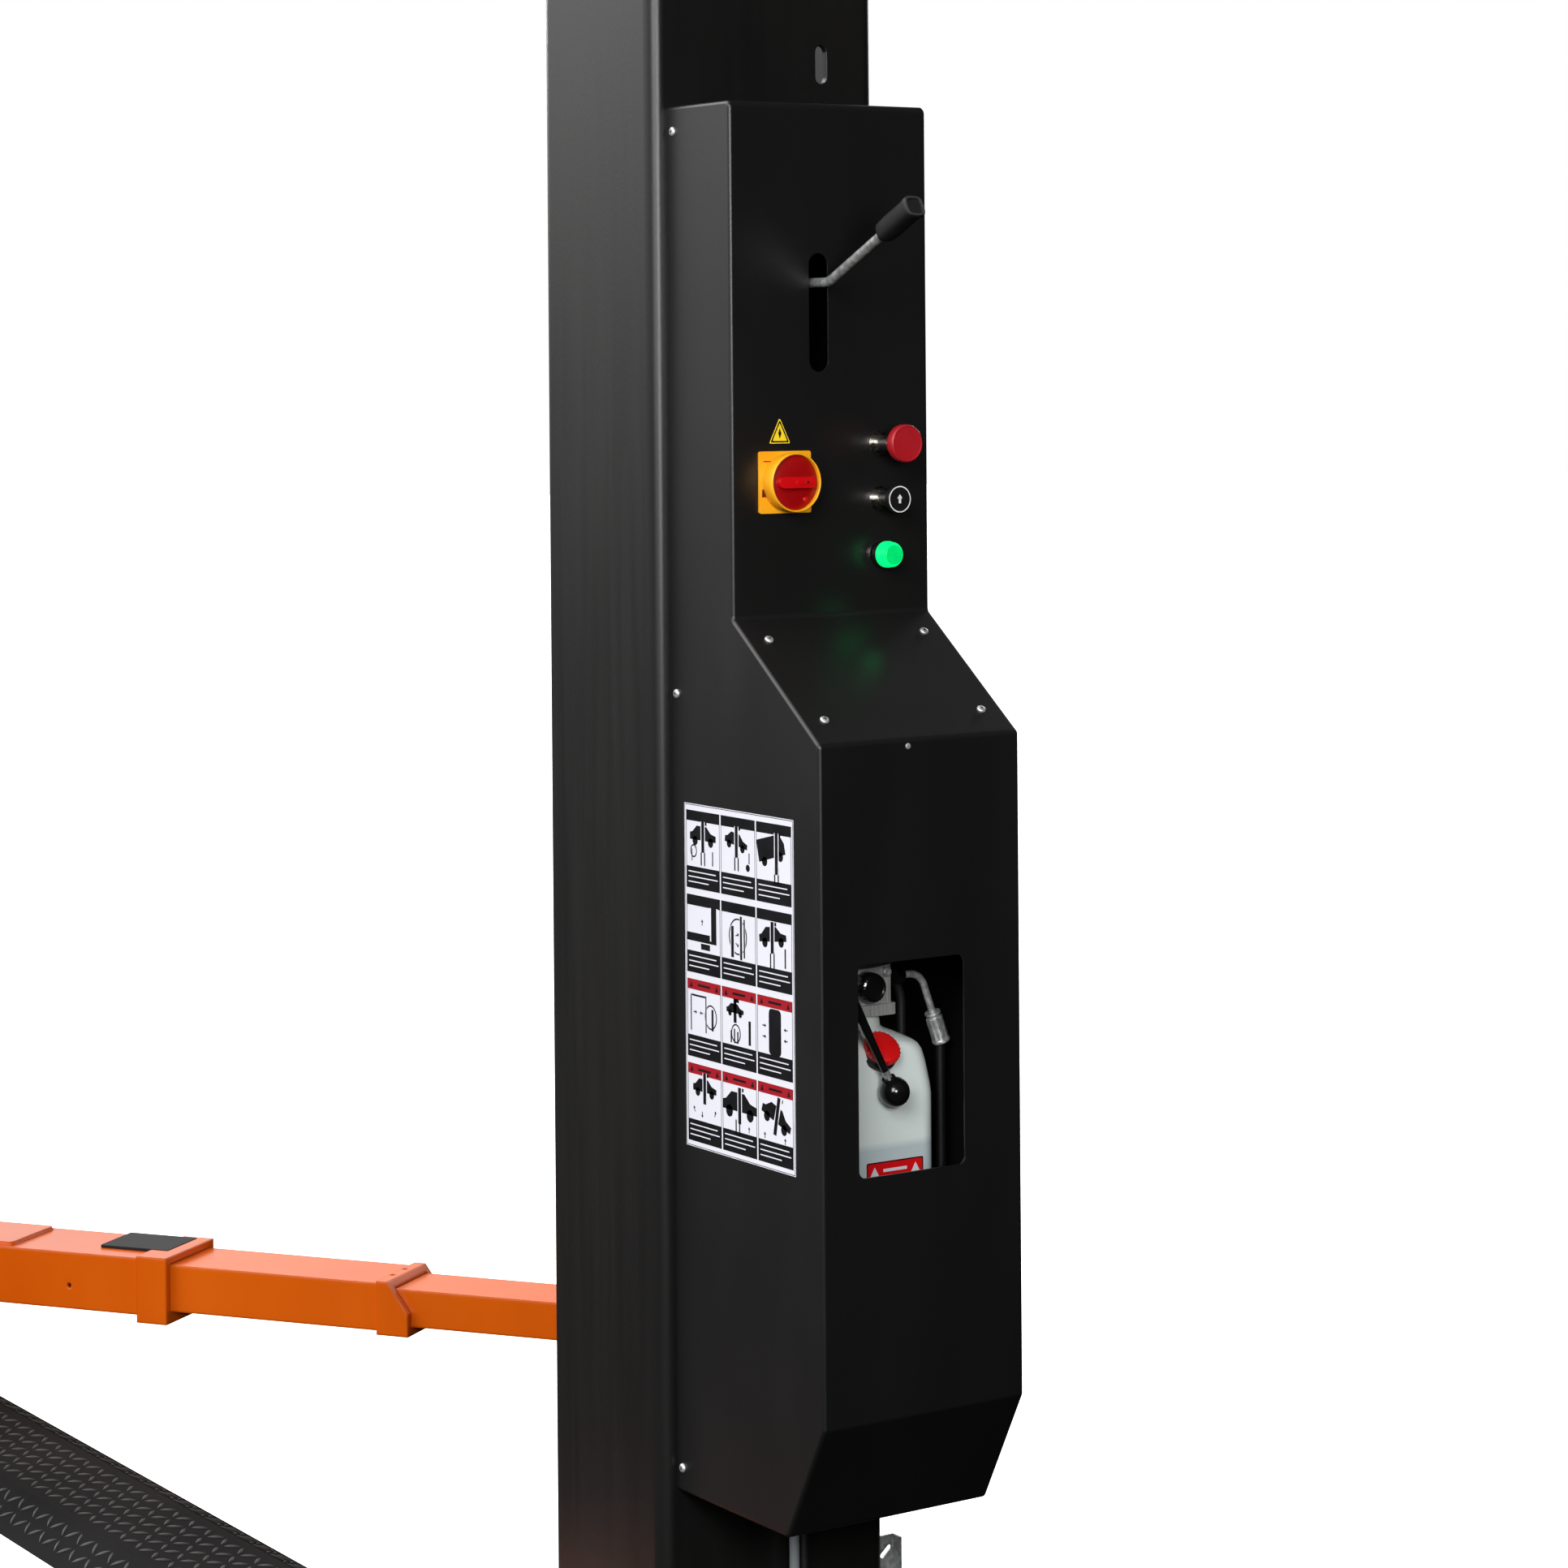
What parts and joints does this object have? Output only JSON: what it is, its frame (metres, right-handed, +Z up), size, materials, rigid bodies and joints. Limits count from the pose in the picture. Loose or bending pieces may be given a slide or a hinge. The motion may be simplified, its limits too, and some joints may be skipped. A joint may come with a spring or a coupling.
{
  "type": "two-post vehicle lift",
  "caption": "Two-post vehicle lift with chained hydraulic carriages, swinging telescopic arms, a floor cover and a control cover on the power column.",
  "frame": {"origin": "on the floor, midway between the two columns, at the centre of the outer anchor pattern", "axes": "+X towards the power column, +Y to the rear, +Z up"},
  "size_m": [3.6195, 1.5176, 2.85],
  "materials": {
    "column_paint": "satin powder coat",
    "cover_paint": "satin powder coat",
    "base_paint": "satin powder coat",
    "tread_plate": "painted steel tread plate",
    "arm_paint": "satin powder coat",
    "carriage_paint": "satin powder coat",
    "chain_steel": "oiled leaf chain",
    "rod_chrome": "hard chrome",
    "barrel_paint": "enamel",
    "slide_plastic": "moulded low-friction nylon",
    "pin_zinc": "zinc plated",
    "latch_steel": "cut steel plate",
    "bracket_zinc": "zinc plated",
    "screw_zinc": "zinc plated",
    "enclosure_grey": "powder coat",
    "isolator_yellow": "moulded",
    "isolator_red": "moulded",
    "neck_chrome": "plated",
    "stop_red": "moulded",
    "button_black": "moulded with a white ring and arrow",
    "lamp_green": "translucent lens, lit",
    "hazard_film": "printed film",
    "guide_film": "printed film",
    "lever_zinc": "zinc plated rod with a black rubber grip",
    "motor_paint": "enamel",
    "block_aluminium": "machined and anodised",
    "tank_plastic": "translucent moulded plastic",
    "cap_red": "moulded",
    "lever_black": "black lever and ball",
    "elbow_zinc": "bright zinc",
    "hose_grey": "smooth grey cover",
    "hose_black": "smooth black cover",
    "pipe_steel": "drawn tube",
    "pad_rubber": "moulded rubber on a steel screw"
  },
  "bodies": {
    "lift_frame": {"power_column": "column_paint", "offside_column": "column_paint", "power_base": "base_paint", "offside_base": "base_paint", "power_anchor_chain": "chain_steel", "offside_anchor_chain": "chain_steel", "column_caps": "column_paint", "cylinders": "barrel_paint", "latch_ladders": "latch_steel", "floor_cover": "tread_plate", "floor_line": "pipe_steel", "control_cover": "cover_paint", "mounting_brackets": "bracket_zinc", "cover_screws": "screw_zinc", "electrical_enclosure": "enclosure_grey", "isolator_plate": "isolator_yellow", "button_necks": "neck_chrome", "lamp_lens": "lamp_green", "hazard_label": "hazard_film", "instruction_decal": "guide_film", "motor": "motor_paint", "pump_block": "block_aluminium", "oil_tank": "tank_plastic", "filler_cap": "cap_red", "outlet_elbow": "elbow_zinc", "pressure_hose": "hose_grey", "return_hose": "hose_black"},
    "power_ram": {"power_rod": "rod_chrome", "power_lift_chain": "chain_steel"},
    "power_chain_wheel": {"power_sheave": "latch_steel"},
    "power_slider": {"power_carriage": "carriage_paint", "power_slide_blocks": "slide_plastic", "power_arm_pins": "pin_zinc"},
    "power_latch": {"power_pawl": "latch_steel"},
    "power_rear_arm": {"power_rear_outer": "arm_paint"},
    "power_rear_arm_middle": {"power_rear_middle": "arm_paint"},
    "power_rear_arm_tip": {"power_rear_inner": "arm_paint"},
    "power_rear_saddle": {"power_rear_pad": "pad_rubber"},
    "power_front_arm": {"power_front_outer": "arm_paint"},
    "power_front_arm_tip": {"power_front_inner": "arm_paint"},
    "power_front_saddle": {"power_front_pad": "pad_rubber"},
    "offside_ram": {"offside_rod": "rod_chrome", "offside_lift_chain": "chain_steel"},
    "offside_chain_wheel": {"offside_sheave": "latch_steel"},
    "offside_slider": {"offside_carriage": "carriage_paint", "offside_slide_blocks": "slide_plastic", "offside_arm_pins": "pin_zinc"},
    "offside_latch": {"offside_pawl": "latch_steel"},
    "offside_rear_arm": {"offside_rear_outer": "arm_paint"},
    "offside_rear_arm_middle": {"offside_rear_middle": "arm_paint"},
    "offside_rear_arm_tip": {"offside_rear_inner": "arm_paint"},
    "offside_rear_saddle": {"offside_rear_pad": "pad_rubber"},
    "offside_front_arm": {"offside_front_outer": "arm_paint"},
    "offside_front_arm_tip": {"offside_front_inner": "arm_paint"},
    "offside_front_saddle": {"offside_front_pad": "pad_rubber"},
    "release_handle": {"release_lever": "lever_zinc"},
    "isolator_handle": {"isolator_knob": "isolator_red"},
    "stop_plunger": {"estop_button": "stop_red"},
    "up_plunger": {"up_button": "button_black"},
    "lowering_handle": {"lowering_lever": "lever_black"}
  },
  "joints": [
    {"name": "lift", "type": "slide", "parent": "lift_frame", "child": "power_ram", "axis": [0, 0, 1], "range_m": [0, 0.87], "deforming": ["power_anchor_chain"]},
    {"name": "power_carriage_rise", "type": "slide", "parent": "power_ram", "child": "power_slider", "axis": [0, 0, 1], "range_m": [0, 0.87], "deforming": ["power_lift_chain"]},
    {"name": "power_sheave_spin", "type": "hinge", "parent": "power_ram", "child": "power_chain_wheel", "pos_m": [1.5, 0, 1.21], "axis": [1, 0, 0], "range_deg": [0, 997]},
    {"name": "power_latch_release", "type": "hinge", "parent": "power_slider", "child": "power_latch", "pos_m": [1.566, 0, 0.935], "axis": [0, -1, 0], "range_deg": [0, 20]},
    {"name": "power_rear_swing", "type": "hinge", "parent": "power_slider", "child": "power_rear_arm", "pos_m": [1.303, 0.14, 0.16], "axis": [0, 0, -1], "range_deg": [-5, 53]},
    {"name": "power_front_swing", "type": "hinge", "parent": "power_slider", "child": "power_front_arm", "pos_m": [1.303, -0.14, 0.16], "axis": [0, 0, 1], "range_deg": [-25, 53]},
    {"name": "power_rear_middle_slide", "type": "slide", "parent": "power_rear_arm", "child": "power_rear_arm_middle", "axis": [-0.8192, 0.5736, 0], "range_m": [0, 0.351]},
    {"name": "power_rear_tip_slide", "type": "slide", "parent": "power_rear_arm_middle", "child": "power_rear_arm_tip", "axis": [-0.8192, 0.5736, 0], "range_m": [0, 0.327]},
    {"name": "power_front_tip_slide", "type": "slide", "parent": "power_front_arm", "child": "power_front_arm_tip", "axis": [-0.8192, -0.5736, 0], "range_m": [0, 0.3]},
    {"name": "power_rear_pad_height", "type": "slide", "parent": "power_rear_arm_tip", "child": "power_rear_saddle", "axis": [0, 0, 1], "range_m": [0, 0.04]},
    {"name": "power_front_pad_height", "type": "slide", "parent": "power_front_arm_tip", "child": "power_front_saddle", "axis": [0, 0, 1], "range_m": [0, 0.04]},
    {"name": "offside_lift", "type": "slide", "parent": "lift_frame", "child": "offside_ram", "axis": [0, 0, 1], "range_m": [0, 0.87], "deforming": ["offside_anchor_chain"]},
    {"name": "offside_carriage_rise", "type": "slide", "parent": "offside_ram", "child": "offside_slider", "axis": [0, 0, 1], "range_m": [0, 0.87], "deforming": ["offside_lift_chain"]},
    {"name": "offside_sheave_spin", "type": "hinge", "parent": "offside_ram", "child": "offside_chain_wheel", "pos_m": [-1.5, 0, 1.21], "axis": [1, 0, 0], "range_deg": [0, 997]},
    {"name": "offside_latch_release", "type": "hinge", "parent": "offside_slider", "child": "offside_latch", "pos_m": [-1.566, 0, 0.935], "axis": [0, 1, 0], "range_deg": [0, 20]},
    {"name": "offside_rear_swing", "type": "hinge", "parent": "offside_slider", "child": "offside_rear_arm", "pos_m": [-1.303, 0.14, 0.16], "axis": [0, 0, 1], "range_deg": [-5, 53]},
    {"name": "offside_front_swing", "type": "hinge", "parent": "offside_slider", "child": "offside_front_arm", "pos_m": [-1.303, -0.14, 0.16], "axis": [0, 0, -1], "range_deg": [-25, 53]},
    {"name": "offside_rear_middle_slide", "type": "slide", "parent": "offside_rear_arm", "child": "offside_rear_arm_middle", "axis": [0.8192, 0.5736, 0], "range_m": [-0.351, 0]},
    {"name": "offside_rear_tip_slide", "type": "slide", "parent": "offside_rear_arm_middle", "child": "offside_rear_arm_tip", "axis": [0.8192, 0.5736, 0], "range_m": [-0.327, 0]},
    {"name": "offside_front_tip_slide", "type": "slide", "parent": "offside_front_arm", "child": "offside_front_arm_tip", "axis": [0.8192, -0.5736, 0], "range_m": [0, 0.3]},
    {"name": "offside_rear_pad_height", "type": "slide", "parent": "offside_rear_arm_tip", "child": "offside_rear_saddle", "axis": [0, 0, 1], "range_m": [0, 0.04]},
    {"name": "offside_front_pad_height", "type": "slide", "parent": "offside_front_arm_tip", "child": "offside_front_saddle", "axis": [0, 0, 1], "range_m": [0, 0.04]},
    {"name": "release_lever_pull", "type": "hinge", "parent": "lift_frame", "child": "release_handle", "pos_m": [1.645, -0.015, 1.774], "axis": [0, 1, 0], "range_deg": [0, 35], "stiffness_Nm_per_rad": 2.5, "springref_deg": -34.38},
    {"name": "isolator_turn", "type": "hinge", "parent": "lift_frame", "child": "isolator_handle", "pos_m": [1.739, -0.0605, 1.565], "axis": [1, 0, 0], "range_deg": [-90, 0]},
    {"name": "estop_press", "type": "slide", "parent": "lift_frame", "child": "stop_plunger", "axis": [-1, 0, 0], "range_m": [0, 0.004]},
    {"name": "up_press", "type": "slide", "parent": "lift_frame", "child": "up_plunger", "axis": [-1, 0, 0], "range_m": [0, 0.003], "stiffness_N_per_m": 600, "springref_m": -0.003},
    {"name": "lowering_pull", "type": "hinge", "parent": "lift_frame", "child": "lowering_handle", "pos_m": [1.834, -0.052, 1.046], "axis": [1, 0, 0], "range_deg": [0, 25], "stiffness_Nm_per_rad": 1.5, "springref_deg": -28.65}
  ],
  "couplings": [
    {"joint": "power_carriage_rise", "follows": "lift", "ratio": 1},
    {"joint": "power_sheave_spin", "follows": "lift", "rad_per_m": 20},
    {"joint": "power_latch_release", "follows": "release_lever_pull", "ratio": 0.57143},
    {"joint": "offside_lift", "follows": "lift", "ratio": 1},
    {"joint": "offside_carriage_rise", "follows": "lift", "ratio": 1},
    {"joint": "offside_sheave_spin", "follows": "lift", "rad_per_m": 20},
    {"joint": "offside_latch_release", "follows": "release_lever_pull", "ratio": 0.57143}
  ]
}
